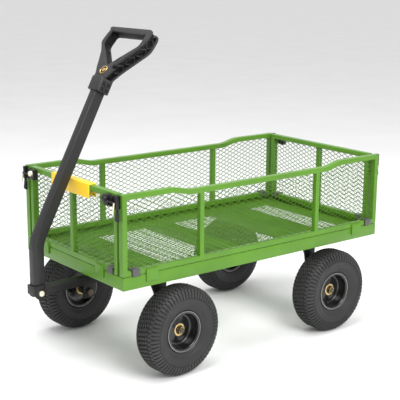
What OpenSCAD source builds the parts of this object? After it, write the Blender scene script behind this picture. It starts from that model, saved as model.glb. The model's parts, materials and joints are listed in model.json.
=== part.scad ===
// Four-wheeled garden cart: a steel mesh bed with lift-off sides, a steered
// front axle and a folding pull handle. The handle end is at -Y, +Z is up, and
// the origin lies on the ground under the middle of the whole cart.

/* [Bed] */
// Length of the bed
bed_l = 965; // [900:5:1050]
// Width of the bed
bed_w = 508; // [490:2:560]
// Height of the rails' lower edge above the ground
rail_z = 274; // [272:1:290]
// Height of the rails
rail_h = 36; // [34:1:44]
// Width of the shelf that carries the floor
shelf_w = 77; // [60:1:90]

/* [Sides] */
// Height of the top of the sides above the ground
side_top = 532; // [500:1:600]
// Width of a frame tube, seen from outside
tube_w = 14; // [12:1:16]
// Depth of a frame tube, across the side
tube_d = 18; // [16:1:20]
// Distance of the long sides' inner posts from the middle
post_y = 220; // [180:1:260]
// Depth of the dip in the long sides' top tube
dip = 13; // [0:1:16]

/* [Wheels] */
// Outer radius of the tyres
tyre_r = 127; // [120:1:127]
// Width of the tyres
tyre_w = 82; // [70:1:84]
// Distance of a wheel's middle from the cart's middle plane
track = 246; // [244:1:260]
// Front axle's and kingpin's distance ahead of the bed's middle
front_y = 310; // [300:1:320]
// Rear axle's distance behind the bed's middle
rear_y = 287; // [270:1:292]

/* [Steering and handle] */
// Angle at which the front wheels are left standing
steer_rest = 3; // [0:0.5:4]
// Handle pivot's distance ahead of the bed's middle
pivot_y = 604; // [600:1:620]
// Height of the handle pivot
pivot_z = 235; // [230:1:240]
// Lean of the handle's upper part, from upright
lean = 28.3; // [26:0.1:29]
// Length of the handle's straight upper part
stem_l = 434; // [400:1:480]

/* [Hidden] */
$fn = 64;

green = [0.30, 0.52, 0.16];
black = [0.13, 0.13, 0.13];
grey = [0.35, 0.35, 0.36];
rubber = [0.10, 0.10, 0.10];
zinc = [0.75, 0.62, 0.30];
yellow = [0.97, 0.85, 0.15];

half_l = bed_l / 2;
half_w = bed_w / 2;
sheet = 2;                               // thickness of the bed's sheet steel
gap = 0.5;                               // clearance between pieces that part company
rail_top = rail_z + rail_h;
shelf_z = rail_top - 12;                 // top of the shelf under the floor
floor_t = 2;

// Sides: lowest edge, and where the end sides stop short of the long ones
side_z = rail_top + 2;
end_half = half_w - tube_d - 10;
mesh_t = 2.4;                            // overall thickness of the expanded mesh
hook_w = 38;
hook_drop = 20;                          // how far a hook reaches down past the rail's top
hook_t = 4;
clip_l = 25;

// Axles, hubs and wheels
axle_r = 8;
run = 0.05;                              // radial clearance of a running fit
bead_r = 55;
rim_half = 27;
hub_in = 28;
hub_out = 7;
hub_r = 19;
bearing_r = 16;
leg_t = 5;
front_leg_x = 178;                       // middle of a front axle leg at its foot
rear_leg_x = 170;
washer_t = 2;
stand_top = rail_z - 6 - washer_t;       // top of the turning stand, under its washer
kingpin_r = 8;

// Handle
tube_x = 25;
tube_y = 35;
knee_z = 352;                            // where the handle starts to bend
knee_r = 90;
tube_foot = 17;                          // tube's lower end, above the pivot
yoke_t = 4;
yoke_w = tube_x + 2 * yoke_t + 1;
pin_r = 5;
pad_front = 4;                           // how far the bumper stands proud of the front side

// Bumper and latches, placed from the middle of the cart
bumper_half = 98;
bumper_h = 36;                           // how far the bumper reaches down its side
keeper_x0 = 184;
keeper_x1 = 205;
keeper_low = 34;                         // keepers and fins, from the top of the side down
keeper_h = 29;
keeper_d = 14;                           // how far a keeper stands proud of its side
lever_x = 240.5;
lever_w = 5;
latch_pivot = [10, 526];                 // lever's pivot: distance out from the side, height
latch_pin_r = 2;
latch_foot = 495;                        // lower edge of a latch's base
latch_top = 531;
lever_end = 461;                         // lower end of a hanging lever
hook_x = 209.5;                          // where the wire's hook passes behind the fin
hook_tip = 6;                            // hook's tip, out from the side
wire_z = 513;
wire_r = 2;
wire_out = 17;                           // wire's distance out from the side

// The cart's own box runs from the yoke's front corner to the rear latches
front_reach = front_y + (pivot_y - front_y + tube_y / 2 + yoke_t) * cos(steer_rest)
    + yoke_w / 2 * sin(steer_rest);
rear_reach = half_l + wire_out + wire_r;
shift_y = (front_reach - rear_reach) / 2;

// Places what is drawn about the bed's middle
module cart() translate([0, shift_y, 0]) children();

// Turns the front axle, tongue and handle to where they are left standing
module steered() cart() translate([0, -front_y, 0]) rotate(steer_rest) translate([0, front_y, 0])
    children();

module both_x() {
    children();
    mirror([1, 0, 0]) children();
}

module both_y() {
    children();
    mirror([0, 1, 0]) children();
}

// Bar across the cart, of length l and section s: [along the cart, upwards]
module box_x(l, s, y, z) translate([-l / 2, y, z]) cube([l, s[0], s[1]]);

// Round bar across the cart
module rod_x(r, l) rotate([0, 90, 0]) cylinder(r = r, h = l, center = true);

// Hexagon nut of corner radius r, with a flange
flange_t = 1.6;
module flange_nut(r, h) {
    cylinder(r = r, h = h, $fn = 6);
    cylinder(r = r * 1.15, h = flange_t);
}

// ---- bed -----------------------------------------------------------------

// Side rail: an outer web, a shelf for the floor and a foot along its lower edge.
// The shelf and the foot stop at the end rails' webs.
foot_w = 14;
module side_rails() color(green) cart() both_x() translate([half_w, 0, 0]) mirror([1, 0, 0]) {
    inner_l = bed_l - 2 * sheet;
    translate([0, -half_l, rail_z]) cube([sheet, bed_l, rail_h]);
    translate([0, -inner_l / 2, rail_z]) cube([foot_w, inner_l, sheet]);
    translate([0, -inner_l / 2, shelf_z - sheet]) cube([shelf_w, inner_l, sheet]);
}

// End rails fit between the side rails' webs
module end_rails() color(green) cart() both_y() translate([0, -half_l, 0]) {
    box_x(bed_w - 2 * sheet, [sheet, rail_h], 0, rail_z);
    box_x(bed_w - 2 * shelf_w, [shelf_w, sheet], 0, shelf_z - sheet);
    box_x(bed_w - 2 * foot_w, [foot_w, sheet], 0, rail_z);
}

// Each cross member is a channel that opens downwards: [front edge, width]
front_member = [-365, 80];
rear_member = [205, 115];
members = [front_member, [-62, 60], rear_member];
lip_w = 20;
function lips(m) = [m[0] + lip_w / 2, m[0] + m[1] - lip_w / 2];
module cross_members() color(green) cart() difference() {
    for (m = members) {
        box_x(bed_w - 2 * shelf_w, [m[1], sheet], m[0], shelf_z - sheet);
        for (e = [0, m[1] - sheet])
            box_x(bed_w - 30, [sheet, shelf_z - sheet - rail_z], m[0] + e, rail_z);
        for (y = lips(m)) box_x(bed_w - 30, [lip_w, sheet], y - lip_w / 2, rail_z);
    }
    translate([0, -front_y, rail_z - 1]) cylinder(r = 16, h = sheet + 2);
    bolt_holes(front_bolts);
    bolt_holes(rear_bolts);
}

// The floor leaves room at its edges for the sides' inner hook plates
floor_margin = sheet + hook_t + 2 * gap;
module floor_mesh() color(green) cart()
    box_x(bed_w - 2 * floor_margin, [bed_l - 2 * floor_margin, floor_t],
        floor_margin - half_l, shelf_z);

front_bolts = [for (x = [-110, 110], y = lips(front_member)) [x, y]];
rear_bolts = [for (x = [-125, 125], y = lips(rear_member)) [x, y]];
module bolt_holes(spots) for (b = spots) translate([b[0], b[1], rail_z])
    cylinder(r = 4.2, h = 40, center = true);
// Bolts up through a cross member's lips and the plate below them
bolt_head_h = 4;
plate_left = 1.6;                        // plate between the front bolts' sunken heads and the lips
module bolts(spots, clamped) for (b = spots) translate([b[0], b[1], rail_z]) {
    translate([0, 0, sheet]) flange_nut(6, 6);
    translate([0, 0, -clamped]) cylinder(r = 4, h = clamped + 10);
    translate([0, 0, -clamped - bolt_head_h]) cylinder(r = 6.5, h = bolt_head_h, $fn = 6);
}
module frame_bolts() color(zinc) cart() {
    bolts(front_bolts, plate_left);
    bolts(rear_bolts, leg_t);
}

// ---- running gear --------------------------------------------------------

plate_margin = 2;
module turntable_plate() color(black) cart() difference() {
    translate([-130, front_member[0] - plate_margin, stand_top + washer_t])
        cube([260, front_member[1] + 2 * plate_margin, rail_z - stand_top - washer_t]);
    translate([0, -front_y, 0]) cylinder(r = kingpin_r + run, h = 400);
    bolt_holes(front_bolts);
    for (b = front_bolts) translate([b[0], b[1], 0]) cylinder(r = 7, h = rail_z - plate_left);
}

// Bolt that the front axle turns about: head below the stand, nut in the channel
module kingpin() color(zinc) cart() translate([0, -front_y, 0]) {
    head_top = stand_top - leg_t - 0.3;
    translate([0, 0, head_top - 8]) cylinder(r = 13, h = 8, $fn = 6);
    translate([0, 0, head_top - 1]) cylinder(r = kingpin_r, h = rail_z + 13 - head_top + 1);
    translate([0, 0, rail_z]) flange_nut(12, 10);
}

// Leg of an axle stand: a plate that narrows below its top and splays outwards to the axle
leg_top_w = 70;
leg_w = 42;
leg_taper = 50;                          // height over which a leg narrows
module leg(top_x, foot_x, top_z) difference() {
    rotate([90, 0, 90]) linear_extrude(foot_x + leg_t / 2)
        polygon([[-leg_top_w / 2, top_z], [leg_top_w / 2, top_z], [leg_w / 2, top_z - leg_taper],
            [leg_w / 2, tyre_r - 18], [-leg_w / 2, tyre_r - 18], [-leg_w / 2, top_z - leg_taper]]);
    rotate([90, 0, 0]) linear_extrude(400, center = true)
        polygon([[-1, 0], [foot_x - leg_t / 2, 0], [foot_x - leg_t / 2, tyre_r + 40],
            [top_x - leg_t / 2, top_z - leg_t], [-1, top_z - leg_t]]);
    rotate([90, 0, 0]) linear_extrude(400, center = true)
        polygon([[foot_x + leg_t / 2, 0], [foot_x + 100, 0], [foot_x + 100, 400],
            [top_x + leg_t / 2, 400], [top_x + leg_t / 2, top_z],
            [foot_x + leg_t / 2, tyre_r + 40]]);
    translate([0, 0, tyre_r]) rod_x(axle_r, 600);
}

module stand(top_x, foot_x, top_z) both_x() leg(top_x, foot_x, top_z);

module rear_axle_stand() color(black) cart() difference() {
    union() {
        translate([0, rear_y, 0]) stand(150, rear_leg_x, rail_z);
        box_x(280, [rear_member[1] - 2, leg_t], rear_member[0] + 1, rail_z - leg_t);
    }
    bolt_holes(rear_bolts);
}

module steering_stand() color(black) steered() difference() {
    union() {
        translate([0, -front_y, 0]) stand(155, front_leg_x, stand_top);
        translate([-60, -front_y - 60, stand_top - leg_t]) cube([120, 60, leg_t]);
    }
    translate([0, -front_y, stand_top]) cylinder(r = kingpin_r + run, h = 60, center = true);
}

module thrust_washer() color(zinc) steered() translate([0, -front_y, stand_top]) difference() {
    cylinder(r = 38, h = washer_t - 0.1);
    translate([0, 0, -1]) cylinder(r = kingpin_r + run, h = washer_t + 2);
}

// Each wheel turns on its own bolt, whose head lies against its leg's inner face
axle_end = track + hub_out + 12;
axle_head_h = 7;
module axle_bolts(leg_x) translate([0, 0, tyre_r]) both_x()
    translate([leg_x - leg_t / 2, 0, 0]) rotate([0, 90, 0]) {
        translate([0, 0, -axle_head_h]) cylinder(r = 12, h = axle_head_h, $fn = 6);
        translate([0, 0, -1]) cylinder(r = axle_r, h = axle_end - leg_x + leg_t / 2 + 1);
    }
module rear_axle_bolts() color(zinc) cart() translate([0, rear_y, 0]) axle_bolts(rear_leg_x);
module front_axle_bolts() color(zinc) steered() translate([0, -front_y, 0])
    axle_bolts(front_leg_x);

// Spacer tube inside each wheel, and a washer and nut outside it
module axle_hardware(leg_x) translate([0, 0, tyre_r]) both_x() {
    spacer_x = leg_x + leg_t / 2;
    difference() {
        union() {
            translate([spacer_x, 0, 0]) rotate([0, 90, 0])
                cylinder(r = 12, h = track - hub_in - 0.3 - spacer_x);
            translate([track + hub_out + 0.3, 0, 0]) rotate([0, 90, 0]) {
                cylinder(r = 13, h = flange_t);
                translate([0, 0, flange_t]) cylinder(r = 11, h = 8, $fn = 6);
            }
        }
        rod_x(axle_r + run, 800);
    }
}
module rear_axle_hardware() color(zinc) cart() translate([0, rear_y, 0])
    axle_hardware(rear_leg_x);
module front_axle_hardware() color(zinc) steered() translate([0, -front_y, 0])
    axle_hardware(front_leg_x);

// ---- wheels --------------------------------------------------------------

// Half of a tyre's section, open towards the rim, as [radius, distance from its middle]
shoulder_r = 24;
function tyre_half() = let (w = tyre_w / 2) concat(
    [[tyre_r - 9, 0], [tyre_r - 9, 12], [tyre_r - 16, w - 14], [tyre_r - 27, w - 9],
     [bead_r + 20, w - 12], [bead_r + 8, 20], [bead_r, 14], [bead_r, rim_half - 5],
     [bead_r + 3, rim_half - 1], [bead_r + 12, w - 8], [bead_r + 24, w - 1.5]],
    [for (a = [0 : 10 : 90])
        [tyre_r - shoulder_r + shoulder_r * sin(a), w - shoulder_r + shoulder_r * cos(a)]],
    [[tyre_r, 0]]);
function flipped(pts) = [for (i = [len(pts) - 1 : -1 : 0]) [pts[i][0], -pts[i][1]]];

module tyre() rotate_extrude() polygon(concat(tyre_half(), flipped(tyre_half())));

// Deep-dished steel rim: two flanges, a drop-centre barrel, a disc and a hub tube
module rim_outline() {
    lip = bead_r + 3;
    polygon([[bead_r - 5, -rim_half], [bead_r - 2, -rim_half - 2], [lip, -rim_half - 2],
        [lip, -rim_half], [bead_r, -rim_half + 1], [bead_r, rim_half - 1],
        [lip, rim_half], [lip, rim_half + 2], [bead_r - 2, rim_half + 2], [bead_r - 5, rim_half],
        [bead_r - 5, 4], [bead_r - 14, 0], [hub_r + 12, 0], [hub_r + 6, 3], [hub_r, 4],
        [hub_r, hub_out - 1], [bearing_r, hub_out - 1], [bearing_r, -hub_in + 1],
        [hub_r, -hub_in + 1], [hub_r, 1], [hub_r + 5, 0], [hub_r + 12, -3],
        [bead_r - 12, -3], [bead_r - 5, 0]]);
}

module rim() {
    rotate_extrude() rim_outline();
    // valve stem
    translate([bead_r - 11, 0, 0]) rotate([0, 18, 0]) cylinder(r1 = 4, r2 = 3.2, h = 22);
}

// A flanged bearing at each end of the hub
module bearings() for (end = [0, 1])
    translate([0, 0, end == 1 ? hub_out - 1 : -hub_in + 1]) mirror([0, 0, 1 - end]) difference() {
        union() {
            translate([0, 0, -11]) cylinder(r = bearing_r, h = 11);
            cylinder(r = hub_r - 1, h = 1);
        }
        translate([0, 0, -12]) cylinder(r = axle_r + run, h = 20);
    }

// Puts a wheel on its axle; its outer face looks along its own +Z
module on_axle(end, y) translate([end * track, y, tyre_r]) rotate([0, end * 90, 0]) children();
module on_front(end) steered() on_axle(end, -front_y) children();
module on_rear(end) cart() on_axle(end, rear_y) children();

// ---- handle --------------------------------------------------------------

module tongue() color(black) steered() difference() {
    h = 24;
    union() {
        translate([-tube_x / 2, -pivot_y, pivot_z - h / 2 + 3])
            cube([tube_x, pivot_y - front_y - 20, h]);
        translate([0, -pivot_y, pivot_z]) rod_x(h / 2, tube_x);
        translate([-tube_x / 2, -front_y - 60, pivot_z + h / 2 + 2.9])
            cube([tube_x, 40, stand_top - leg_t - pivot_z - h / 2 - 2.9]);
    }
    translate([0, -pivot_y, pivot_z]) rod_x(pin_r, 100);
}

module tongue_bolts() color(zinc) steered()
    for (y = [-front_y - 52, -front_y - 28], m = [0, 1]) mirror([m, 0, 0])
        translate([tube_x / 2, y, pivot_z + 6]) rotate([0, 90, 0]) cylinder(r = 5.5, h = 4, $fn = 6);

// Channel round the handle's lower end, closed in front, with ears on the pivot
module handle_yoke() color(black) steered() translate([0, -pivot_y, pivot_z]) difference() {
    front = -tube_y / 2 - yoke_t;
    union() {
        translate([-yoke_w / 2, front, -4]) cube([yoke_w, tube_y / 2 + yoke_t, 26]);
        rod_x(18, yoke_w);
        translate([-yoke_w / 2, 0, 0]) cube([yoke_w, 16, 22]);
    }
    translate([-tube_x / 2 - 0.5, front + yoke_t, -40]) cube([tube_x + 1, 80, 80]);
    rod_x(pin_r + run, 100);
}

module pivot_bolt() color(zinc) steered() translate([0, -pivot_y, pivot_z]) {
    rod_x(pin_r, yoke_w + 2);
    for (m = [0, 1]) mirror([m, 0, 0]) translate([yoke_w / 2 + 0.4, 0, 0]) rotate([0, 90, 0])
        cylinder(r = 7.5, h = 5.5, $fn = m == 0 ? 64 : 6);
}

// Follows the handle's middle line to the top of its bend
module above_knee() translate([0, -pivot_y + knee_r * (1 - cos(lean)), knee_z + knee_r * sin(lean)])
    rotate([-lean, 0, 0]) children();

// The tube seen from its side: its front edge bends wider than its back edge
bend_steps = 12;
function bend(r) = [for (i = [0 : bend_steps]) let (a = lean * i / bend_steps)
    [-pivot_y + knee_r - r * cos(a), knee_z + r * sin(a)]];
function edge(side) = let (pts = bend(knee_r - side * tube_y / 2)) concat(
    [[-pivot_y + side * tube_y / 2, pivot_z + tube_foot]], pts,
    [pts[bend_steps] + stem_l * [sin(lean), cos(lean)]]);
function reversed(pts) = [for (i = [len(pts) - 1 : -1 : 0]) pts[i]];

module handle_tube() color(grey) steered() translate([-tube_x / 2, 0, 0]) rotate([90, 0, 90])
    linear_extrude(tube_x) polygon(concat(edge(-1), reversed(edge(1))));

// D-shaped grip: a socket on the tube, two arms that spread, and a crossbar
grip_tilt = 13.5;                        // how much further the loop leans than the stem
socket_l = 34;
socket_grip = 12;                        // length of stem inside the socket
loop_t = 31;
loop_outer = [[24, 0], [43, 40], [105, 116], [102, 158], [90, 172.5]];
loop_opening = [[1, 42], [81, 117], [78, 157]];
module mirrored(pts) polygon(concat(pts,
    [for (i = [len(pts) - 1 : -1 : 0]) [-pts[i][0], pts[i][1]]]));

module in_grip() above_knee() translate([0, 0, stem_l - socket_grip + socket_l])
    rotate([-grip_tilt, 0, 0]) children();

module grip() color(grey) steered() difference() {
    union() {
        above_knee() translate([-24, -22, stem_l - socket_grip]) cube([48, 44, socket_l + 4]);
        in_grip() translate([0, loop_t / 2, 0]) rotate([90, 0, 0]) linear_extrude(loop_t)
            difference() {
                offset(r = 6) offset(delta = -6) mirrored(loop_outer);
                offset(r = 8) offset(delta = -8) mirrored(loop_opening);
            }
    }
    above_knee() translate([-tube_x / 2, -tube_y / 2, -10]) cube([tube_x, tube_y, stem_l + 10]);
}

module grip_badge() color(zinc) steered() in_grip() translate([0, -loop_t / 2, 26])
    rotate([90, 0, 0]) cylinder(r = 13, h = 1.6);

module grip_screws() color(black) steered() above_knee()
    for (z = [4, 18], m = [0, 1]) mirror([m, 0, 0])
        translate([24, 0, stem_l - socket_grip + z]) rotate([0, 90, 0]) cylinder(r = 3.5, h = 2);

// ---- sides ---------------------------------------------------------------

frame_h = side_top - side_z;

// Height of the long sides' top edge at distance y from the middle
ramp_mid = 288;
ramp_l = 80;
function ramp(y) = min(1, max(0, (abs(y) - ramp_mid) / ramp_l + 0.5));
function top_edge(y) = frame_h - dip * (1 + cos(180 * ramp(y))) / 2;
// A side's frame, drawn flat with its outer face at z = 0 and its foot at y = 0.
// Each hook is a pair of plates that straddles the rail under the side.
rail_y = rail_top - side_z;              // rail's top edge, as drawn
inner_drop = shelf_z + floor_t + 1 - side_z;

module side_frame(half, posts, post_top, hooks, top_pts) color(green) {
    mirror([0, 0, 1]) {
        linear_extrude(tube_d) {
            translate([-half, 0]) square([2 * half, tube_w]);
            polygon(concat(top_pts, lowered(top_pts)));
            for (x = [-half, half - tube_w]) translate([x, 1]) square([tube_w, frame_h - 2]);
        }
        linear_extrude(tube_d - 4) for (p = posts) translate([p - tube_w / 2, 1])
            square([tube_w, post_top - tube_w]);
    }
    for (h = hooks) translate([h - hook_w / 2, 0, 0]) {
        translate([0, 1, 0]) cube([hook_w, tube_w - 4, hook_t + gap]);
        translate([0, rail_y - hook_drop, gap]) cube([hook_w, hook_drop + 4, hook_t]);
        translate([0, inner_drop, -sheet - gap - hook_t]) cube([hook_w, 1 - inner_drop, hook_t]);
    }
}

// Top edge of a side, and the same edge one tube lower, back to its start
function lowered(pts) = [for (i = [len(pts) - 1 : -1 : 0]) [pts[i][0], pts[i][1] - tube_w]];
function straight_top(half) = [[-half, frame_h], [half, frame_h]];
ramp_steps = 10;
function ramp_top(half) = concat([[-half, frame_h]],
    [for (s = [-1, 1], i = [0 : ramp_steps])
        let (y = s * ramp_mid + ramp_l * (i / ramp_steps - 0.5)) [y, top_edge(y)]],
    [[half, frame_h]]);

module side_mesh(half, posts, top_pts) color(green)
    translate([0, 0, -tube_d / 2 - mesh_t / 2]) linear_extrude(mesh_t) difference() {
        polygon(concat(lowered(top_pts), [[-half, tube_w], [half, tube_w]]));
        for (p = concat([-half + tube_w / 2, half - tube_w / 2], posts))
            translate([p - tube_w / 2, 0]) square([tube_w, frame_h]);
    }

// Moulded clips that grip the bottom tube and rest on the rail
module side_clips(spots) color(grey) for (s = spots) translate([s - clip_l / 2, 0, 0])
    difference() {
        translate([0, rail_y + 0.2, -tube_d - 3]) cube([clip_l, tube_w + 5, tube_d + 8]);
        translate([-1, 0, -tube_d]) cube([clip_l + 2, tube_w, tube_d]);
        translate([-1, tube_w - 1, -tube_d / 2 - mesh_t / 2]) cube([clip_l + 2, 10, mesh_t]);
    }

// Stands a flat side up on the rail: its drawn x runs along the rail
module on_left() cart() translate([half_w, 0, side_z]) rotate([90, 0, 90]) children();
module on_right() cart() translate([-half_w, 0, side_z]) rotate([90, 0, -90]) children();
module on_front_end() cart() translate([0, -half_l, side_z]) rotate([90, 0, 0]) children();
module on_rear_end() cart() translate([0, half_l, side_z]) rotate([90, 0, 180]) children();

long_posts = [-post_y, post_y];
long_hooks = [-391, 391];
long_clips = [-443, 443];
end_posts = [0];
end_hooks = [-144, 144];
end_clips = [-196, 196];

module long_frame()
    side_frame(half_l, long_posts, frame_h - dip, long_hooks, ramp_top(half_l));
module long_mesh() side_mesh(half_l, long_posts, ramp_top(half_l));
module end_frame()
    side_frame(end_half, end_posts, frame_h, end_hooks, straight_top(end_half));
module end_mesh() side_mesh(end_half, end_posts, straight_top(end_half));
module left_side_frame() on_left() long_frame();
module right_side_frame() on_right() long_frame();
module front_side_frame() on_front_end() end_frame();
module rear_side_frame() on_rear_end() end_frame();
module left_side_mesh() on_left() long_mesh();
module right_side_mesh() on_right() long_mesh();
module front_side_mesh() on_front_end() end_mesh();
module rear_side_mesh() on_rear_end() end_mesh();

// ---- corner latches ------------------------------------------------------

// Bumper that the parked handle leans towards
module bumper() color(yellow) on_front_end() difference() {
    translate([-bumper_half, frame_h - bumper_h, -tube_d - 4])
        cube([2 * bumper_half, bumper_h + 4, tube_d + 4 + pad_front]);
    translate([-bumper_half - 1, frame_h - bumper_h - 1, -tube_d])
        cube([2 * bumper_half + 2, bumper_h + 1, tube_d]);
}

// Keeper on the face of an end side's top tube, with its bolt, and the fin that a hook catches
fin_x = 214;
module keepers() color(black) for (s = [-1, 1]) scale([s, 1, 1]) {
    translate([keeper_x0, frame_h - keeper_low, 0])
        cube([keeper_x1 - keeper_x0, keeper_h, keeper_d]);
    translate([(keeper_x0 + keeper_x1) / 2, frame_h - 15, keeper_d]) cylinder(r = 7.8, h = 7);
    translate([fin_x, frame_h - keeper_low, 0]) cube([10, keeper_h, 2.5]);
    translate([fin_x, frame_h - keeper_low, 0]) cube([3, keeper_h, 12.5]);
}

// Places what is drawn as [across, outwards, up] at one corner's latch
module at_latch(sx, sy) cart() translate([0, sy * half_l, 0]) scale([sx, sy, 1]) children();
module latch_pin(r, l) translate([lever_x, latch_pivot[0], latch_pivot[1]]) rod_x(r, l);

// Base on a long side's corner post: two cheeks and the pin between them
cheek_t = 1.6;
base_d = 13;
module latch_base() {
    outer_w = lever_w + 2 * cheek_t + 0.6;
    difference() {
        translate([lever_x - outer_w / 2, 0, latch_foot])
            cube([outer_w, base_d, latch_top - latch_foot]);
        translate([lever_x - lever_w / 2 - 0.3, 3, latch_foot - 5])
            cube([lever_w + 0.6, 20, 60]);
        latch_pin(latch_pin_r, 30);
    }
    latch_pin(latch_pin_r, outer_w + 1);
}
module left_latch_bases() color(black) for (sy = [-1, 1]) at_latch(1, sy) latch_base();
module right_latch_bases() color(black) for (sy = [-1, 1]) at_latch(-1, sy) latch_base();

// Lever that hangs from its base, with a wider thumb piece at its end
thumb_w = 9;
module lever(sx, sy) color(black) at_latch(sx, sy) difference() {
    union() {
        latch_pin(4.5, lever_w);
        translate([lever_x - lever_w / 2, 0, 0]) rotate([90, 0, 90]) linear_extrude(lever_w)
            polygon([[7, latch_pivot[1]], [13, latch_pivot[1]], [10, lever_end + 9],
                [5, lever_end + 9]]);
        translate([lever_x - thumb_w / 2, 0, 0]) rotate([90, 0, 90]) linear_extrude(thumb_w)
            polygon([[5.5, lever_end + 25], [10.5, lever_end + 25], [13, lever_end + 5],
                [10, lever_end], [5, lever_end]]);
    }
    latch_pin(latch_pin_r + run, 40);
}

// Wire drawn tight by the lever: it ends in a hook behind the keeper's fin
module hook(sx, sy) color(zinc) at_latch(sx, sy) {
    top = [lever_x - 0.5, wire_out, wire_z];
    translate(top) sphere(r = wire_r);
    translate([hook_x, wire_out, wire_z]) sphere(r = wire_r);
    translate([hook_x, wire_out, wire_z]) rotate([0, 90, 0])
        cylinder(r = wire_r, h = top[0] - hook_x);
    translate([hook_x, hook_tip, wire_z]) rotate([-90, 0, 0])
        cylinder(r = wire_r, h = wire_out - hook_tip);
    translate(top) rotate([180 + 9, 0, 0]) cylinder(r = wire_r, h = 30);
}

// ---- nodes ---------------------------------------------------------------

side_rails();
end_rails();
cross_members();
floor_mesh();
turntable_plate();
kingpin();
rear_axle_stand();
rear_axle_bolts();
rear_axle_hardware();
frame_bolts();
steering_stand();
front_axle_bolts();
front_axle_hardware();
tongue();
thrust_washer();
tongue_bolts();
handle_tube();
handle_yoke();
grip();
grip_badge();
grip_screws();
pivot_bolt();
color(rubber) on_front(1) tyre();  // front_left_tyre
color(black) on_front(1) rim();  // front_left_rim
color(zinc) on_front(1) bearings();  // front_left_bearings
color(rubber) on_front(-1) tyre();  // front_right_tyre
color(black) on_front(-1) rim();  // front_right_rim
color(zinc) on_front(-1) bearings();  // front_right_bearings
color(rubber) on_rear(1) tyre();  // rear_left_tyre
color(black) on_rear(1) rim();  // rear_left_rim
color(zinc) on_rear(1) bearings();  // rear_left_bearings
color(rubber) on_rear(-1) tyre();  // rear_right_tyre
color(black) on_rear(-1) rim();  // rear_right_rim
color(zinc) on_rear(-1) bearings();  // rear_right_bearings
left_side_frame();
left_side_mesh();
on_left() side_clips(long_clips);  // left_side_clips
left_latch_bases();
right_side_frame();
right_side_mesh();
on_right() side_clips(long_clips);  // right_side_clips
right_latch_bases();
front_side_frame();
front_side_mesh();
on_front_end() side_clips(end_clips);  // front_side_clips
on_front_end() keepers();  // front_keepers
bumper();
rear_side_frame();
rear_side_mesh();
on_rear_end() side_clips(end_clips);  // rear_side_clips
on_rear_end() keepers();  // rear_keepers
lever(1, -1);  // front_left_lever
hook(1, -1);  // front_left_hook
lever(-1, -1);  // front_right_lever
hook(-1, -1);  // front_right_hook
lever(1, 1);  // rear_left_lever
hook(1, 1);  // rear_left_hook
lever(-1, 1);  // rear_right_lever
hook(-1, 1);  // rear_right_hook
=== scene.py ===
"""Looks of the four-wheeled garden cart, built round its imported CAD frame. Metres throughout."""
import json
import math
import random

import bmesh
import bpy
from mathutils import Matrix, Vector

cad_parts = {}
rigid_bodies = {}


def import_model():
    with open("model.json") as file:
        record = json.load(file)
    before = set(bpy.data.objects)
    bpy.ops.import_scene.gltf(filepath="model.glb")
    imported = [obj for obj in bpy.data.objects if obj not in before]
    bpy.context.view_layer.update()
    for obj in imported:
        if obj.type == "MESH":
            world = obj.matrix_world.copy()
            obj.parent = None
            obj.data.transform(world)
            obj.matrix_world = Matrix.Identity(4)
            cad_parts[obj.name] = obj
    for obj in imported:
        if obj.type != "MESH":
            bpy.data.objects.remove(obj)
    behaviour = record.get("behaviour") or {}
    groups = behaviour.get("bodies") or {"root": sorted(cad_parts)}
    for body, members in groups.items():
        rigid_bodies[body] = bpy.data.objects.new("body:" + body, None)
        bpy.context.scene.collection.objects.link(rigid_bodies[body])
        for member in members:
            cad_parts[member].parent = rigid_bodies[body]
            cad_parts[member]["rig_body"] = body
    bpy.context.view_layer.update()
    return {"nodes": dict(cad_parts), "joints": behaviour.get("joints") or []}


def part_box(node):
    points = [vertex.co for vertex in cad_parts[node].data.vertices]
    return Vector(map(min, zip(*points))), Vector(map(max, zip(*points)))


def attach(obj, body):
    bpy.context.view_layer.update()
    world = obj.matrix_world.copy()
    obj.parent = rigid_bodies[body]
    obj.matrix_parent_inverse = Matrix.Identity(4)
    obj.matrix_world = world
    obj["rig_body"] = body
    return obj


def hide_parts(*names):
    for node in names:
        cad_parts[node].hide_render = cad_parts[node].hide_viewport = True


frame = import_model()
nodes = frame["nodes"]
joints = {j["name"]: j for j in frame["joints"]}
random.seed(7)

MM = 0.001
CORNERS = ("front_left", "front_right", "rear_left", "rear_right")
SIDES = ("left", "right", "front", "rear")

bed_low, bed_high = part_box("floor_mesh")
BED = (bed_low + bed_high) / 2

# ---- camera ------------------------------------------------------------------

# degrees
CAMERA_AZIMUTH, CAMERA_ELEVATION, CAMERA_ROLL = 51.65, 13.32, 0.41
# metres: how far off the camera is, and where the middle of its picture is beside the bed
CAMERA_DISTANCE, LOOK_RIGHT, LOOK_HEIGHT = 3.13405, -0.022, 0.40513
# millimetres
SENSOR, LENS = 36.0, 92.09
FAR_CLIP = 200


def make_camera():
    """A camera that looks down on the near front corner."""
    azimuth, elevation, roll = (math.radians(a) for a in
                                (CAMERA_AZIMUTH, CAMERA_ELEVATION, CAMERA_ROLL))
    back = Vector((math.sin(azimuth) * math.cos(elevation),
                   -math.cos(azimuth) * math.cos(elevation), math.sin(elevation)))
    level = Vector((math.cos(azimuth), math.sin(azimuth), 0))
    above = back.cross(level)
    right = level * math.cos(roll) + above * math.sin(roll)
    up = above * math.cos(roll) - level * math.sin(roll)
    data = bpy.data.cameras.new("camera")
    data.sensor_width, data.lens = SENSOR, LENS
    data.clip_end = FAR_CLIP
    camera = bpy.data.objects.new("camera", data)
    place = Vector((0, BED.y, LOOK_HEIGHT)) + right * LOOK_RIGHT + back * CAMERA_DISTANCE
    turn = Matrix((right, up, back)).transposed().to_4x4()
    camera.matrix_world = Matrix.Translation(place) @ turn
    bpy.context.scene.collection.objects.link(camera)
    bpy.context.scene.camera = camera


make_camera()

# ---- materials -----------------------------------------------------------------


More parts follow.
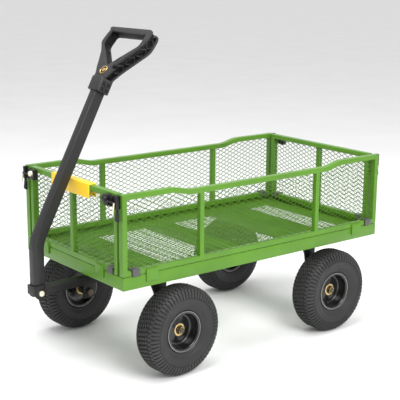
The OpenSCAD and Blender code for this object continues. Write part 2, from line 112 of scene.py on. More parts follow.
def shader(name):
    """A new material, its node tree, its shader and a texture coordinate fixed to the object."""
    material = bpy.data.materials.new(name)
    material.use_nodes = True
    tree = material.node_tree
    place = tree.nodes.new("ShaderNodeTexCoord").outputs["Object"]
    return material, tree, tree.nodes["Principled BSDF"], place


def noise(tree, place, scale, detail=2.0):
    """Noise that repeats about once in 1 / scale metres."""
    texture = tree.nodes.new("ShaderNodeTexNoise")
    texture.inputs["Scale"].default_value = scale
    texture.inputs["Detail"].default_value = detail
    tree.links.new(place, texture.inputs["Vector"])
    return texture.outputs["Fac"]


def ramp(tree, source, stops):
    """Turns a 0 to 1 value into the colours of stops, each (position, colour)."""
    node = tree.nodes.new("ShaderNodeValToRGB")
    elements = node.color_ramp.elements
    for element, (position, colour) in zip(elements, stops):
        element.position, element.color = position, (*colour, 1)
    for position, colour in stops[2:]:
        elements.new(position).color = (*colour, 1)
    tree.links.new(source, node.inputs["Fac"])
    return node.outputs["Color"]


def spread(tree, source, low, high, low_in=0.3, high_in=0.7):
    """Turns a value between low_in and high_in into one between low and high."""
    node = tree.nodes.new("ShaderNodeMapRange")
    node.inputs["From Min"].default_value = low_in
    node.inputs["From Max"].default_value = high_in
    node.inputs["To Min"].default_value = low
    node.inputs["To Max"].default_value = high
    tree.links.new(source, node.inputs["Value"])
    return node.outputs["Result"]


def scaled(colour, factor):
    """The colour, lighter or darker."""
    return tuple(min(1.0, c * factor) for c in colour)


# noises of the colour and of the gloss: how many repeats in a metre, and how much detail
PATCHES = (9, 4)
SMUDGES = (35, 3)


def finish_material(name, colour, rough, metallic=0.0, coat=0.0, specular=0.5, vary=0.10,
                    grain=700, grain_height=0.00004, grain_strength=0.35):
    """Paint, plastic, rubber or plate: patchy colour, uneven gloss and a fine raised grain."""
    material, tree, bsdf, place = shader(name)
    shades = [(0.3, scaled(colour, 1 - vary)), (0.7, scaled(colour, 1 + vary))]
    tree.links.new(ramp(tree, noise(tree, place, *PATCHES), shades), bsdf.inputs["Base Color"])
    gloss = spread(tree, noise(tree, place, *SMUDGES), rough - 0.05, rough + 0.07)
    tree.links.new(gloss, bsdf.inputs["Roughness"])
    bump = tree.nodes.new("ShaderNodeBump")
    bump.inputs["Strength"].default_value = grain_strength
    bump.inputs["Distance"].default_value = grain_height
    tree.links.new(noise(tree, place, grain), bump.inputs["Height"])
    tree.links.new(bump.outputs["Normal"], bsdf.inputs["Normal"])
    bsdf.inputs["Metallic"].default_value = metallic
    bsdf.inputs["Coat Weight"].default_value = coat
    bsdf.inputs["Coat Roughness"].default_value = 0.12
    bsdf.inputs["Specular IOR Level"].default_value = specular
    return material


powder_green = finish_material("powder green", (0.085, 0.225, 0.012), 0.40, coat=0.12,
                               specular=0.35, grain=420)
# lighter green for the rounded edges: a painted highlight along them
green_edge_highlight = finish_material("powder green painted edge highlight", (0.17, 0.36, 0.060), 0.33, coat=0.20,
                             specular=0.45, grain=420)
mesh_green = finish_material("mesh green", (0.075, 0.185, 0.014), 0.42, coat=0.05,
                             specular=0.35, grain=600)
satin_black = finish_material("satin black", (0.008, 0.008, 0.008), 0.45, coat=0.08,
                              specular=0.35, grain=500)
# lighter black for the rounded edges: a painted highlight along them
black_edge_highlight = finish_material("satin black painted edge highlight", (0.030, 0.030, 0.030), 0.38, coat=0.15, grain=500)
rim_black = finish_material("rim black", (0.006, 0.006, 0.006), 0.20, coat=0.55, specular=0.4,
                            grain=250)
# light grey metal rings on the black rims' flanges: a painted highlight along each flange
rim_bead_highlight = finish_material("rim painted bead highlight", (0.42, 0.42, 0.41), 0.30, metallic=0.7, grain=300)
tube_grey = finish_material("tube grey", (0.014, 0.014, 0.0145), 0.42, coat=0.10, specular=0.40,
                            grain=500)
# lighter grey for the rounded edges: a painted highlight along them
tube_edge_highlight = finish_material("tube grey painted edge highlight", (0.045, 0.045, 0.045), 0.36, coat=0.15, grain=500)
grip_plastic = finish_material("grip plastic", (0.024, 0.024, 0.025), 0.48, specular=0.4,
                               grain=1500, grain_strength=0.6)
# near-black plastic for the channel's bottom and the socket's cells: painted shade in those recesses
grip_recess_shade = finish_material("grip plastic, painted recess shade", (0.007, 0.007, 0.007), 0.55, specular=0.25,
                            grain=1500, grain_strength=0.6)
rubber = finish_material("tyre rubber", (0.019, 0.019, 0.020), 0.50, specular=0.4, vary=0.16,
                         grain=1100, grain_height=0.0001, grain_strength=0.5)
# the tread blocks' rubber is lighter than the carcass's: a painted highlight on the blocks, with the
# darker grooves between them as painted shade
lug_rubber_highlight = finish_material("tyre tread rubber, painted highlight", (0.036, 0.036, 0.036), 0.60, specular=0.3,
                             vary=0.35, grain=900, grain_height=0.00015, grain_strength=0.6)
zinc = finish_material("yellow zinc", (0.62, 0.46, 0.20), 0.28, metallic=1.0, vary=0.14, grain=300)
dark_zinc = finish_material("dark zinc", (0.10, 0.085, 0.06), 0.35, metallic=0.8, vary=0.12,
                            grain=300)
pale_zinc = finish_material("pale zinc", (0.86, 0.80, 0.62), 0.34, metallic=0.55, vary=0.08,
                            grain=300)
gold = finish_material("badge gold", (0.80, 0.56, 0.22), 0.25, metallic=1.0, grain=400)
clip_grey = finish_material("clip grey", (0.075, 0.075, 0.075), 0.50, grain=1200,
                            grain_strength=0.5)
yellow = finish_material("bumper yellow", (0.93, 0.60, 0.020), 0.42, vary=0.04, grain=900,
                         grain_strength=0.4)

# ---- mesh helpers ----------------------------------------------------------------


def new_object(name, mesh, materials, body, smooth_angle=35):
    """Links a mesh as a piece that rides on a body; edges sharper than smooth_angle stay sharp."""
    piece = bpy.data.objects.new(name, mesh)
    bpy.context.scene.collection.objects.link(piece)
    mesh.materials.clear()
    for material in materials:
        mesh.materials.append(material)
    mesh.polygons.foreach_set("use_smooth", [True] * len(mesh.polygons))
    mesh.set_sharp_from_angle(angle=math.radians(smooth_angle))
    mesh.update()
    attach(piece, body)
    return piece


def rounded(mesh, width, segments=2, angle=32, edge_slot=-1):
    """The same mesh with its sharp edges rounded; edge_slot is the rounded strips' material, which is
    a painted highlight where it is a second, lighter one.
    """
    holder = bpy.data.objects.new("holder", mesh)
    bpy.context.scene.collection.objects.link(holder)
    bevel = holder.modifiers.new("bevel", "BEVEL")
    bevel.width, bevel.segments = width, segments
    bevel.limit_method, bevel.angle_limit = "ANGLE", math.radians(angle)
    bevel.use_clamp_overlap = True
    bevel.material = edge_slot
    graph = bpy.context.evaluated_depsgraph_get()
    result = bpy.data.meshes.new_from_object(holder.evaluated_get(graph))
    bpy.data.objects.remove(holder)
    return result


def from_bmesh(name, bm):
    """A mesh with the shape of bm, which is used up."""
    mesh = bpy.data.meshes.new(name)
    bmesh.ops.recalc_face_normals(bm, faces=bm.faces)
    bm.to_mesh(mesh)
    bm.free()
    return mesh


def body_of(node):
    """The body that a CAD node rides on."""
    return nodes[node]["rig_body"]


WELD = 0.00002
FLAT_ANGLE = math.radians(0.5)


def refine(node, materials, width, segments=2, angle=32):
    """Stands for a CAD node: its own shape, with its edges rounded. A second material is the rounded
    edges', a lighter painted highlight along them."""
    bm = bmesh.new()
    bm.from_mesh(nodes[node].data)
    bmesh.ops.remove_doubles(bm, verts=bm.verts, dist=WELD)
    bmesh.ops.dissolve_limit(bm, angle_limit=FLAT_ANGLE, verts=bm.verts, edges=bm.edges)
    mesh = from_bmesh(node, bm)
    mesh.materials.clear()
    for material in materials:
        mesh.materials.append(material)
    for polygon in mesh.polygons:
        polygon.material_index = 0
    mesh = rounded(mesh, width, segments, angle, len(materials) - 1)
    piece = new_object(node + ".detail", mesh, materials, body_of(node))
    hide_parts(node)
    return piece


def prism(bm, outline, low, high, place):
    """Adds a prism to bm. Its outline's points are (a, b); place turns (a, b, height) into one."""
    rings = [[bm.verts.new(place(a, b, h)) for a, b in outline] for h in (low, high)]
    count = len(outline)
    bm.faces.new(rings[0][::-1])
    bm.faces.new(rings[1])
    for i in range(count):
        j = (i + 1) % count
        bm.faces.new((rings[0][i], rings[0][j], rings[1][j], rings[1][i]))


def lathe(name, profile, steps):
    """Turns a closed profile of (radius, distance along the axis), in mm, about local Z."""
    bm = bmesh.new()
    rings = []
    for i in range(steps):
        c, s = math.cos(2 * math.pi * i / steps), math.sin(2 * math.pi * i / steps)
        rings.append([bm.verts.new(Vector((r * c, r * s, w)) * MM) for r, w in profile])
    count = len(profile)
    for i in range(steps):
        here, following = rings[i], rings[(i + 1) % steps]
        for k in range(count):
            j = (k + 1) % count
            bm.faces.new((here[k], following[k], following[j], here[j]))
    return from_bmesh(name, bm)


def placed(mesh, matrix):
    """A moved copy of the mesh."""
    copy = mesh.copy()
    copy.transform(matrix)
    return copy


# ---- wheels ------------------------------------------------------------------------

# Profiles are in mm: distance from the wheel's axis, then distance from its middle plane.
# The tyre's outside, from its bead to the tread's middle, and its inside, back from there.
TYRE_OUTER = [(55, 22), (57.5, 25.5), (61, 27.5), (63.5, 30.5), (67, 31.2), (72, 34.5), (79, 38),
              (86, 39.0), (89.5, 39.2), (91.5, 40.7), (95.5, 40.9), (97, 39.4), (104, 38.3),
              (110, 36.0), (116, 31.8), (120, 27.2), (122.6, 20), (123.6, 10), (124, 0)]
TYRE_INNER = [(113, 0), (112, 12), (104, 25), (92, 30), (80, 28.5), (68, 22), (60, 17), (55, 14)]
# Each rubber block of the tread has a top and a wider foot, which is sunk in the tyre.
SHOULDER_TOP = [(99, 40.9), (105, 40.7), (111, 39.4), (116, 37.0), (119.4, 34.0), (121.8, 30.6)]
SHOULDER_FOOT = [(98, 38.8), (103.5, 38.0), (109, 36.4), (113.4, 34.0), (116.4, 31.0), (118.8, 27.8)]
NEXT_TOP = [(122.2, 30), (124, 26.6), (125.2, 22.8)]
NEXT_FOOT = [(119, 30.6), (121, 26.4), (122, 21.6)]
ROW_TOP = [(126.7, -2.7), (127, 0), (126.7, 2.7)]
ROW_FOOT = [(122.6, -3.5), (122.6, 0), (122.6, 3.5)]
# the middle rows: distance from the middle plane, and shift in blocks
TREAD_ROWS = ((-16, 0.0), (-8, 0.5), (0, 0.0), (8, 0.5), (16, 0.0))
# the edges' blocks: top, foot, shift in blocks
EDGE_BLOCKS = ((SHOULDER_TOP, SHOULDER_FOOT, 0.25), (NEXT_TOP, NEXT_FOOT, 0.75))
TREAD_BLOCKS = 64
EDGE_SHARE, ROW_SHARE = 0.34, 0.31
ROW_SKEW = 0.004
# how far a block's foot and its top reach, in half widths of the block
FOOT_REACH, TOP_REACH = 1.12, 0.86


def block(bm, top, foot, middle_angle, half_angle, skew=0.0):
    """Adds a rubber block. Its outline across the tyre is top, and it stands on foot. Both angles
    are about the axis, and skew turns the block across the tread, in radians for each mm."""
    def point(r, w, share):
        angle = middle_angle + share * half_angle + skew * w
        return Vector((r * math.cos(angle), r * math.sin(angle), w)) * MM
    rows = []
    for share, line in ((-FOOT_REACH, foot), (-TOP_REACH, top), (TOP_REACH, top), (FOOT_REACH, foot)):
        rows.append([bm.verts.new(point(r, w, share)) for r, w in line])
    for a, b in zip(rows, rows[1:]):
        for k in range(len(a) - 1):
            bm.faces.new((a[k], a[k + 1], b[k + 1], b[k]))
    for k in (0, len(top) - 1):
        bm.faces.new([row[k] for row in rows])
    for k in range(len(top) - 1):
        bm.faces.new((rows[3][k], rows[3][k + 1], rows[0][k + 1], rows[0][k]))


def shifted(line, sign, along):
    """A profile turned to the other side where sign is -1, and moved along the axis."""
    return [(r, sign * w + along) for r, w in line]


def tyre_mesh():
    """The tyre's carcass and its tread, about local Z."""
    outside = TYRE_OUTER + shifted(TYRE_OUTER[-2::-1], -1, 0)
    inside = shifted(TYRE_INNER[::-1], -1, 0) + TYRE_INNER[1:]
    carcass = lathe("tyre", outside + inside, 120)
    bm = bmesh.new()
    pitch = 2 * math.pi / TREAD_BLOCKS
    for i in range(TREAD_BLOCKS):
        for side in (1, -1):
            for top, foot, phase in EDGE_BLOCKS:
                block(bm, shifted(top, side, 0), shifted(foot, side, 0),
                      (i + phase * side) * pitch, pitch * EDGE_SHARE)
        for w, phase in TREAD_ROWS:
            block(bm, shifted(ROW_TOP, 1, w), shifted(ROW_FOOT, 1, w), (i + phase) * pitch,
                  pitch * ROW_SHARE, ROW_SKEW)
    return carcass, from_bmesh("tread", bm)


# The rim's inner flange is at negative distances. Its dish comes back along the outer side.
RIM_PROFILE = [(50.5, 27), (52.5, 28.6), (56.6, 29), (57.9, 28.2), (57.6, 27), (55.2, 25.6),
               (54.6, 20), (53.4, 14), (50.4, 10), (50.4, -10), (53.4, -14), (54.6, -20),
               (55.2, -25.6), (57.6, -27), (57.9, -28.2), (56.6, -29), (52.5, -28.6), (50.5, -27),
               (49.8, -18), (47.8, -10), (47.4, -6), (44, -4.2), (38, -4.0), (31, -2.0),
               (26, -1.2), (22, 0.6), (19.4, 1.6), (19, -26.5), (16.2, -27), (16.2, 6), (18.9, 6.2),
               (19.2, 5.0), (22.4, 3.6), (26.4, 1.6), (31.4, 0.8), (38, -1.0), (43.6, -1.2),
               (46.6, 1.0), (47.4, 6), (49.4, 12), (50.2, 20)]
# the ring of painted highlight along each flange, light grey on the black rim: radius, distance from
# the middle plane, thickness
BEAD_RADIUS, BEAD_ALONG, BEAD_THICK = 57.3, 28.3, 0.9
# the valve's middle, in metres from the wheel's, its lean in radians, its end radii and length
VALVE_PLACE, VALVE_LEAN = (0.036, 0.014, 0.009), 0.22
VALVE_FOOT, VALVE_TIP, VALVE_LENGTH = 0.0040, 0.0028, 0.022


def wheel_matrix(corner):
    """Puts a wheel, drawn with its outer face along +Z, at its joint."""
    joint = joints[corner + "_spin"]
    out = Vector(joint["axis"]) * (1 if "left" in corner else -1)
    up = Vector((0, 0, 1))
    across = up.cross(out)
    turn = Matrix((across, up, out)).transposed().to_4x4()
    return Matrix.Translation(Vector(joint["pos_m"])) @ turn


def ring_profile(radius, along, thickness):
    """The round section of a wire ring, in eight points."""
    turns = [k * math.pi / 4 for k in range(8)]
    return [(radius + thickness * math.cos(t), along + thickness * math.sin(t)) for t in turns]


def valve_mesh():
    """A tapered rubber stem with rounded ends."""
    bm = bmesh.new()
    matrix = Matrix.Translation(VALVE_PLACE) @ Matrix.Rotation(VALVE_LEAN, 4, "Y")
    bmesh.ops.create_cone(bm, cap_ends=True, segments=20, radius1=VALVE_FOOT, radius2=VALVE_TIP,
                          depth=VALVE_LENGTH, matrix=matrix)
    return rounded(from_bmesh("valve", bm), 0.0007)


def make_wheels():
    """Four wheels alike, each turned to a place of its own."""
    carcass, tread = tyre_mesh()
    rim = lathe("rim", RIM_PROFILE, 112)
    bead_highlights = [lathe("bead_highlight", ring_profile(BEAD_RADIUS, side * BEAD_ALONG, BEAD_THICK), 112)
             for side in (1, -1)]
    valve = valve_mesh()
    for corner in CORNERS:
        body = corner + "_wheel"
        matrix = wheel_matrix(corner) @ Matrix.Rotation(random.uniform(0, 6), 4, "Z")
        tyre = new_object(corner + "_tyre.carcass", placed(carcass, matrix), [rubber], body)
        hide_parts(corner + "_tyre")
        new_object(corner + "_tyre.tread", placed(tread, matrix), [lug_rubber_highlight], body,
                   28)
        dish = new_object(corner + "_rim.dish", placed(rim, matrix), [rim_black], body,
                          50)
        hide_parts(corner + "_rim")
        for k, bead_highlight in enumerate(bead_highlights):
            new_object(f"{corner}_rim.bead{k}", placed(bead_highlight, matrix), [rim_bead_highlight], body)
        new_object(corner + "_rim.valve", placed(valve, matrix), [rubber], body)
        refine(corner + "_bearings", [zinc], 0.0005)


make_wheels()

# ---- expanded steel mesh ------------------------------------------------------------

# one diamond's length and height, and the length of the bond between two strands
LONG_WAY, SHORT_WAY, BOND = 0.0270, 0.0134, 0.0042
STRAND_WIDTH, STRAND_THICK, STRAND_TILT = 0.0019, 0.0012, math.radians(32)
TUBE = 0.014
# the dip in the long sides' top edge: middle and length of each slope, and its depth
SLOPE_MIDDLE, SLOPE_LENGTH, DIP = 0.288, 0.080, 0.013


def strand_section():
    """The four corners of a strand's tilted section, as (up the sheet, out of the sheet)."""
    c, s = math.cos(STRAND_TILT), math.sin(STRAND_TILT)
    corners = [(x * STRAND_WIDTH / 2, y * STRAND_THICK / 2)
               for x, y in ((-1, -1), (1, -1), (1, 1), (-1, 1))]
    return [(x * c - y * s, x * s + y * c) for x, y in corners]


def zigzag(length, centre_line, row):
    """The points of one strand. Every second strand is half a wave along from the others."""
    points = []
    for k in range(int(2 * length / LONG_WAY) + 1):
        a = -length / 2 + k * LONG_WAY / 2
        b = centre_line + (SHORT_WAY / 4 if (k + row) % 2 else -SHORT_WAY / 4)
        for shift in (-BOND / 2, BOND / 2):
            points.append((min(length / 2, max(-length / 2, a + shift)), b))
    return points


def add_ribbon(bm, rings):
    """Joins the rings of a strand, which has a gap where a ring is None, and closes its ends."""
    for first, second in zip(rings, rings[1:]):
        if first and second:
            for k in range(4):
                j = (k + 1) % 4
                bm.faces.new((first[k], second[k], second[j], first[j]))
    for before, ring, after in zip([None] + rings, rings, rings[1:] + [None]):
        if ring and bool(before) != bool(after):
            bm.faces.new(ring)


def expanded_mesh(name, length, low, top_edge, place):
    """Strands that zigzag along a sheet's length and meet their neighbours at short bonds.
    top_edge(a) is the sheet's upper edge at distance a from its middle, and place turns
    (along, up, out) into a point."""
    bm = bmesh.new()
    pitch = SHORT_WAY / 2
    section = strand_section()
    highest = max(top_edge(0), top_edge(length / 2))
    for row in range(int((highest - low) / pitch) + 1):
        rings = []
        for a, b in zigzag(length, low + (row + 0.5) * pitch, row):
            inside = b <= top_edge(a)
            rings.append([bm.verts.new(place(a, b + up, out)) for up, out in section]
                         if inside else None)
        add_ribbon(bm, rings)
    loose = [v for v in bm.verts if not v.link_faces]
    bmesh.ops.delete(bm, geom=loose, context="VERTS")
    return from_bmesh(name, bm)


def top_edge_of(side):
    """The middle line of a side's top tube: its height, by the distance from the side's middle."""
    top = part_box(side + "_side_frame")[1].z - TUBE / 2

    def dipped(a):
        share = min(1, max(0, (abs(a) - SLOPE_MIDDLE) / SLOPE_LENGTH + 0.5))
        return top - DIP * (1 + math.cos(math.pi * share)) / 2
    return dipped if side in ("left", "right") else lambda a: top


def make_side_mesh(side):
    """Fills a side's frame with mesh, in the plane of its CAD sheet."""
    node = side + "_side_mesh"
    low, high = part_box(node)
    flat = (low + high) / 2
    frame_low, frame_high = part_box(side + "_side_frame")
    if side in ("left", "right"):
        length = frame_high.y - frame_low.y - TUBE
        sign = 1 if side == "left" else -1

        def place(a, b, h):
            return (flat.x + sign * h, flat.y + a, b)
    else:
        length = frame_high.x - frame_low.x - TUBE
        sign = 1 if side == "rear" else -1

        def place(a, b, h):
            return (flat.x + a, flat.y + sign * h, b)
    mesh = expanded_mesh(side + "_mesh", length, low.z - TUBE / 2, top_edge_of(side), place)
    piece = new_object(node + ".strands", mesh, [mesh_green], body_of(node))
    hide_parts(node)


def make_floor():
    """The bed's floor, a sheet of the same mesh."""
    width = bed_high.x - bed_low.x
    mesh = expanded_mesh("floor", bed_high.y - bed_low.y, 0, lambda a: width,
                         lambda a, b, h: (bed_low.x + b, BED.y + a, BED.z - h))
    piece = new_object("floor_mesh.strands", mesh, [mesh_green], "root")
    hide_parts("floor_mesh")


for side_name in SIDES:
    make_side_mesh(side_name)
make_floor()

# ---- steel frame, fittings and handle tube --------------------------------------------


# how far from the cart's middle each axle's nut starts
NUT_IN = 0.2550
# the face of the keepers' blocks, from the bed's middle: bolts' heads are farther out
KEEPER_FACE = 0.4967
# the hooks' wire is black above this height, where it goes round the lever
WIRE_TOP = 0.5105

# each pair: the paint, then its lighter painted highlight for the rounded edges
GREEN = [powder_green, green_edge_highlight]
BLACK = [satin_black, black_edge_highlight]
# CAD nodes that keep their shape: material, slot in the record, radius of the edges in mm,
# and segments in a rounded edge
# where a row has two materials, the second is a lighter painted highlight on the rounded edges
FINISHES = (
    (("side_rails", "end_rails", "cross_members"), GREEN, "powder_green", 0.7, 2),
    ([side + "_side_frame" for side in SIDES], GREEN, "powder_green", 1.8, 3),
    ([side + "_side_clips" for side in SIDES], [clip_grey], "clip_grey", 1.2, 2),
    (("turntable_plate", "rear_axle_stand", "steering_stand"), BLACK, "satin_black", 0.8, 2),
    (("tongue", "handle_yoke"), BLACK, "satin_black", 1.8, 3),
    (("handle_tube",), [tube_grey, tube_edge_highlight], "tube_grey", 3.5, 4),
    (("kingpin", "frame_bolts", "thrust_washer", "tongue_bolts"), [zinc], "zinc", 0.6, 2),
    (("front_axle_bolts", "rear_axle_bolts"), [dark_zinc], "zinc", 0.6, 2),
    (("pivot_bolt",), [pale_zinc], "zinc", 1.2, 3),
    (("left_latch_bases", "right_latch_bases"), BLACK, "latch_black", 0.6, 2),
    ([corner + "_lever" for corner in CORNERS], BLACK, "latch_black", 1.2, 3),
    (("bumper",), [yellow], "bumper_yellow", 3.5, 4),
)


def repaint(piece, material, chosen):
    """Gives a second material to a piece's faces whose middles are chosen."""
    piece.data.materials.append(material)
    slot = len(piece.data.materials) - 1
    for polygon in piece.data.polygons:
        if chosen(polygon.center):
            polygon.material_index = slot


def is_nut(point):
    """Whether a point of the axle hardware is on a nut rather than a washer or a spacer."""
    front = point.y < BED.y
    wheel = joints["front_left_spin" if front else "rear_left_spin"]
    middle_y = (joints["steer"] if front else wheel)["pos_m"][1]
    centre = Vector((0, middle_y, wheel["pos_m"][2]))
    return abs((point - centre).dot(Vector(wheel["axis"]))) > NUT_IN


def is_keeper_bolt(point):
    """Whether a point of the keepers is on a bolt of one corner of each end."""
    own_corner = point.x * (1 if point.y > BED.y else -1) > 0
    return own_corner and abs(point.y - BED.y) > KEEPER_FACE


def refine_all():
    """Renews every steel and plastic node that keeps its CAD shape."""
    for names, materials, slot, radius, segments in FINISHES:
        for node in names:
            refine(node, materials, radius * MM, segments)
    for end in ("front", "rear"):
        hardware = refine(end + "_axle_hardware", [satin_black], 0.6 * MM)
        repaint(hardware, zinc, is_nut)
        keepers = refine(end + "_keepers", BLACK, 0.8 * MM)
        repaint(keepers, pale_zinc, is_keeper_bolt)
    for corner in CORNERS:
        hook = refine(corner + "_hook", [pale_zinc], 0.3 * MM, angle=60)
        repaint(hook, satin_black, lambda p: p.z > WIRE_TOP)


refine_all()

# ---- D-shaped grip ----------------------------------------------------------------------

PIVOT = Vector(joints["handle_pivot"]["pos_m"])
ACROSS = Vector(joints["handle_pivot"]["axis"]).normalized()
REARWARD = Vector((0, 0, 1)).cross(ACROSS)
LEAN = math.radians(28.3)
LOOP_LEAN = LEAN + math.radians(13.5)
# the loop's lowest point, from the handle's pivot
LOOP_FOOT = PIVOT + REARWARD * 0.22695 + Vector((0, 0, 0.5612))
# half of the loop's depth, and of its outline and its opening, in mm: across, then up
LOOP_HALF = 0.01542
LOOP_OUTER = [(24, 0), (27, 14), (43, 40), (104, 113), (105, 132), (101.5, 158), (92, 172.5)]
LOOP_OPENING = [(2, 44), (80, 117), (79, 152), (75, 157)]
OUTLINE_POINTS = 160
CORNER = 0.012
# thickness of the face plates, of the opening's wall, and how far the channel's bottom is in
PLATE, WALL, CHANNEL = 0.006, 0.0055, 0.0115
# how far the front plate's edge is in along the arms
ARM_CUT = 0.0105
# the ribs: one in so many points of the outline, then their depth, half thickness and leans
RIB_EVERY, RIB_DEPTH, RIB_HALF, RIB_LEAN, RIB_SLOPE = 5, 0.0125, 0.0008, 0.006, 0.009
# the socket: half its width and depth, and its ends along the stem
SOCKET_HALF, SOCKET_LOW, SOCKET_HIGH = (0.024, 0.022), -0.034, 0.006
# the cells: how far off the middle their foot and face are, and where they lie
CELL_IN, CELL_OUT = 0.0232, 0.0241
CELLS_UP = ((-0.031, -0.019), (-0.016, -0.003))
CELLS_OUT = ((-0.015, -0.002), (0.002, 0.013))
# the corners of a box's six faces, where its first four corners are its low end's
BOX_FACES = ((0, 1, 2, 3), (7, 6, 5, 4), (0, 4, 5, 1), (1, 5, 6, 2), (2, 6, 7, 3), (3, 7, 4, 0))
# the badge's height on the loop, and its parts in mm: radius, then height off the loop's face.
# A radius of 0.01 stands for the middle.
BADGE_UP = 0.026
BADGE_RIM = [(13, -0.6), (13, 1.2), (12.4, 1.6), (11.4, 1.6), (10.8, 1.1), (10.8, -0.6)]
BADGE_DISC = [(0.01, -0.6), (10.9, -0.6), (10.9, 0.7), (0.01, 0.9)]
BADGE_DOT = [(0.01, 0.5), (5.6, 0.5), (5.6, 1.1), (4.8, 1.5), (0.01, 1.6)]


def leaning(lean):
    """A plane that leans back from the loop's foot: turns (across, up, out) into a point."""
    up = REARWARD * math.sin(lean) + Vector((0, 0, math.cos(lean)))
    out = Vector((0, 0, math.sin(lean))) - REARWARD * math.cos(lean)
    return lambda x, s, n: LOOP_FOOT + ACROSS * x + up * s + out * n


in_loop = leaning(LOOP_LEAN)
on_stem = leaning(LEAN)


def full_outline(half):
    """A closed outline, anticlockwise, from the half with positive x, in metres."""
    right = [(x * MM, s * MM) for x, s in half]
    return right + [(-x, s) for x, s in reversed(right)]


def inset(outline, distance):
    """The outline moved inwards by a distance, edge by edge."""
    count = len(outline)
    points = [Vector(p) for p in outline]
    result = []
    for i in range(count):
        before = (points[i] - points[i - 1]).normalized()
        after = (points[(i + 1) % count] - points[i]).normalized()
        normal_a, normal_b = Vector((-before.y, before.x)), Vector((-after.y, after.x))
        blend = normal_a + normal_b
        result.append(tuple(points[i] + blend * (distance * 2 / blend.length_squared)))
    return result


def smooth_corners(outline, radius, steps=4):
    """The outline with each corner replaced by a short curve."""
    count = len(outline)
    points = [Vector(p) for p in outline]
    result = []
    for i, corner in enumerate(points):
        before, after = points[i - 1] - corner, points[(i + 1) % count] - corner
        reach = min(radius, before.length * 0.45, after.length * 0.45)
        a, b = corner + before.normalized() * reach, corner + after.normalized() * reach
        for k in range(steps + 1):
            t = k / steps
            result.append(tuple(a * (1 - t) ** 2 + corner * (2 * t * (1 - t)) + b * t ** 2))
    return result


def ring_plate(bm, outer, inner, low, high, place):
    """Adds a plate with one opening. Both outlines have the same number of points."""
    rows = [[bm.verts.new(place(a, b, h)) for a, b in line]
            for line, h in ((outer, low), (outer, high), (inner, high), (inner, low))]
    count = len(outer)
    for first, second in zip(rows, rows[1:] + rows[:1]):
        for i in range(count):
            j = (i + 1) % count
            bm.faces.new((first[i], first[j], second[j], second[i]))


def even(outline, count):
    """count points spread evenly along a closed outline, from its lowest middle point."""
    points = [Vector(p) for p in outline]
    start = max(range(len(points)), key=lambda i: (-round(points[i].y, 5), points[i].x))
    points = points[start:] + points[:start]
    lengths = [0.0]
    for a, b in zip(points, points[1:] + points[:1]):
        lengths.append(lengths[-1] + (b - a).length)
    points.append(points[0])
    result = []
    k = 0
    for i in range(count):
        target = lengths[-1] * i / count
        while lengths[k + 1] < target:
            k += 1
        share = (target - lengths[k]) / max(1e-9, lengths[k + 1] - lengths[k])
        result.append(tuple(points[k].lerp(points[k + 1], share)))
    return result


def grip_piece(name, bm, material, width=0.0002):
    """Links a piece of the grip, with its edges rounded by width."""
    mesh = rounded(from_bmesh(name, bm), width, 3)
    return new_object("grip." + name, mesh, [material], "handle")


def grip_plate(name, outer, hole, low, high, material=grip_plastic, width=0.0002):
    """A layer of the loop, from low to high out of its plane."""
    bm = bmesh.new()
    ring_plate(bm, outer, hole, low, high, in_loop)
    return grip_piece(name, bm, material, width)


def arm_share(up):
    """How far along the arms a point is: 0 at the throat and the crossbar, 1 between them."""
    return min(1, max(0, (up - 0.034) / 0.022)) * min(1, max(0, (0.168 - up) / 0.022))


def make_grip():
    """Two face plates with a channel between them, ribs in the channel, a socket and a badge."""
    full, opening = full_outline(LOOP_OUTER), full_outline(LOOP_OPENING)
    outer = even(smooth_corners(full, 0.014), OUTLINE_POINTS)
    hole = even(smooth_corners(opening, 0.010), OUTLINE_POINTS)
    wall = even(smooth_corners(inset(opening, -WALL), CORNER), OUTLINE_POINTS)
    edge = even(smooth_corners(inset(full, 0.0015), CORNER), OUTLINE_POINTS)
    narrow = even(inset(edge, ARM_CUT), OUTLINE_POINTS)
    front = [tuple(Vector(a).lerp(Vector(b), arm_share(a[1]))) for a, b in zip(outer, narrow)]
    loop = grip_plate("front", front, hole, LOOP_HALF - PLATE, LOOP_HALF, width=0.0022)
    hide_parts("grip")
    grip_plate("back", outer, hole, -LOOP_HALF, PLATE - LOOP_HALF, width=0.0022)
    grip_plate("wall", wall, hole, 0.003 - LOOP_HALF, LOOP_HALF - 0.003)
    # the channel's bottom is near-black: painted shade in the channel
    core = even(inset(edge, CHANNEL), OUTLINE_POINTS)
    grip_plate("core", core, hole, 0.004 - LOOP_HALF, LOOP_HALF - 0.004, grip_recess_shade)
    make_ribs(outer)
    make_socket()
    make_badge()


def make_ribs(outer):
    """Thin ribs that cross the channel in the loop's outer side, leaning to and fro."""
    bm = bmesh.new()
    points = [Vector(p) for p in outer]
    reach = LOOP_HALF - 0.004
    for i in range(0, len(points), RIB_EVERY):
        here = points[i]
        in_throat = here.y < 0.03 and abs(here.x) < 0.028
        if in_throat:
            continue
        along = (points[(i + 1) % len(points)] - points[i - 1]).normalized()
        inward = Vector((-along.y, along.x))
        lean = along * RIB_LEAN * (1 if (i // RIB_EVERY) % 2 else -1)
        slope = RIB_SLOPE * arm_share(here.y)
        for low, high, shift in ((-reach, 0, -lean), (0, reach, lean)):
            corners = []
            for h, move in ((low, shift), (high, -shift)):
                start = 0.001 + slope * (h + LOOP_HALF) / (2 * LOOP_HALF)
                for a, b in ((start, -RIB_HALF), (start, RIB_HALF), (RIB_DEPTH, RIB_HALF),
                             (RIB_DEPTH, -RIB_HALF)):
                    p = here + inward * a + along * b + move
                    corners.append(bm.verts.new(in_loop(p.x, p.y, h)))
            for quad in BOX_FACES:
                bm.faces.new([corners[k] for k in quad])
    grip_piece("ribs", bm, grip_plastic)


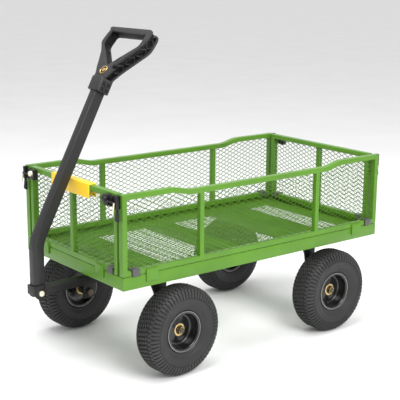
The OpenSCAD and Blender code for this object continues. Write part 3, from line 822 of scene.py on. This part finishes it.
def rectangle(low_a, high_a, low_b, high_b):
    return [(low_a, low_b), (high_a, low_b), (high_a, high_b), (low_a, high_b)]


def make_socket():
    """Rounded sleeve over the stem's end, with shallow cells in its sides."""
    bm = bmesh.new()
    half_a, half_b = SOCKET_HALF
    outline = smooth_corners(rectangle(-half_a, half_a, -half_b, half_b), 0.008, 5)
    prism(bm, outline, SOCKET_LOW, SOCKET_HIGH, lambda a, b, h: on_stem(a, h, b))
    grip_piece("socket", bm, grip_plastic, 0.0018)
    # the cells are near-black: painted shade in their hollows
    bm = bmesh.new()
    for side in (-1, 1):
        for low, high in CELLS_UP:
            for low_out, high_out in CELLS_OUT:
                outline = smooth_corners(rectangle(low, high, low_out, high_out), 0.002)
                prism(bm, outline, side * CELL_IN, side * CELL_OUT,
                      lambda a, b, h: on_stem(h, a, b))
    grip_piece("cells", bm, grip_recess_shade)
    refine("grip_screws", [satin_black], 0.4 * MM)


def make_badge():
    """Plain round badge: a gold rim and a gold dot on a dark disc."""
    axes = [in_loop(*v) - LOOP_FOOT for v in ((1, 0, 0), (0, 1, 0), (0, 0, 1))]
    place = Matrix.Translation(in_loop(0, BADGE_UP, LOOP_HALF))
    place @= Matrix(axes).transposed().to_4x4()
    for name, profile, steps, material in (("rim", BADGE_RIM, 64, gold),
                                           ("disc", BADGE_DISC, 64, satin_black),
                                           ("dot", BADGE_DOT, 48, gold)):
        piece = new_object("grip_badge." + name, placed(lathe(name, profile, steps), place),
                           [material], "handle")
        if name == "rim":
            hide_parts("grip_badge")


make_grip()

# ---- floor, light and world -----------------------------------------------------------------


FLOOR_REACH = 60
PALE, PALER = (0.90, 0.90, 0.90), (0.93, 0.93, 0.93)
LIGHT_TARGET = Vector((0, 0, 0.35))
# each light: name, place, size in metres, power in watts
LIGHTS = (
    ("key", (3.2, -0.3, 2.6), 2.2, 110),
    ("top", (0.0, -0.6, 3.6), 2.5, 85),
    ("front", (0.6, -3.6, 1.8), 2.0, 10),
)
# the way to the brightest part of the surroundings, and their strength opposite it and there
BRIGHT_WALL = (-0.78, 0.62, 0.0)
WALL_STRENGTH = (0.55, 1.0)


def make_floor_plane():
    """A plain pale floor that reaches the horizon."""
    mesh = bpy.data.meshes.new("studio floor")
    corners = [(x * FLOOR_REACH, y * FLOOR_REACH, 0) for x, y in ((-1, -1), (1, -1), (1, 1), (-1, 1))]
    mesh.from_pydata(corners, [], [(0, 1, 2, 3)])
    floor = bpy.data.objects.new("studio_floor", mesh)
    bpy.context.scene.collection.objects.link(floor)
    material, tree, bsdf, place = shader("studio floor")
    tone = ramp(tree, noise(tree, place, 3, 3), [(0.3, PALE), (0.7, PALER)])
    tree.links.new(tone, bsdf.inputs["Base Color"])
    bsdf.inputs["Roughness"].default_value = 0.9
    bsdf.inputs["Specular IOR Level"].default_value = 0.1
    mesh.materials.append(material)


def area_light(name, place, size, power):
    """A round soft light that faces the cart."""
    data = bpy.data.lights.new(name, "AREA")
    data.shape, data.size, data.energy = "DISK", size, power
    light = bpy.data.objects.new(name, data)
    turn = (LIGHT_TARGET - Vector(place)).to_track_quat("-Z", "Y").to_matrix().to_4x4()
    light.matrix_world = Matrix.Translation(place) @ turn
    bpy.context.scene.collection.objects.link(light)


def make_studio():
    """The floor, the lights and white surroundings that are brighter on one side."""
    make_floor_plane()
    for light in LIGHTS:
        area_light(*light)
    world = bpy.data.worlds.new("studio")
    bpy.context.scene.world = world
    world.use_nodes = True
    tree = world.node_tree
    background = tree.nodes["Background"]
    background.inputs["Color"].default_value = (1, 1, 1, 1)
    way = tree.nodes.new("ShaderNodeVectorMath")
    way.operation = "DOT_PRODUCT"
    way.inputs[1].default_value = BRIGHT_WALL
    tree.links.new(tree.nodes.new("ShaderNodeTexCoord").outputs["Generated"], way.inputs[0])
    strength = spread(tree, way.outputs["Value"], *WALL_STRENGTH, -1, 1)
    tree.links.new(strength, background.inputs["Strength"])
    bpy.context.scene.view_settings.view_transform = "Standard"


make_studio()
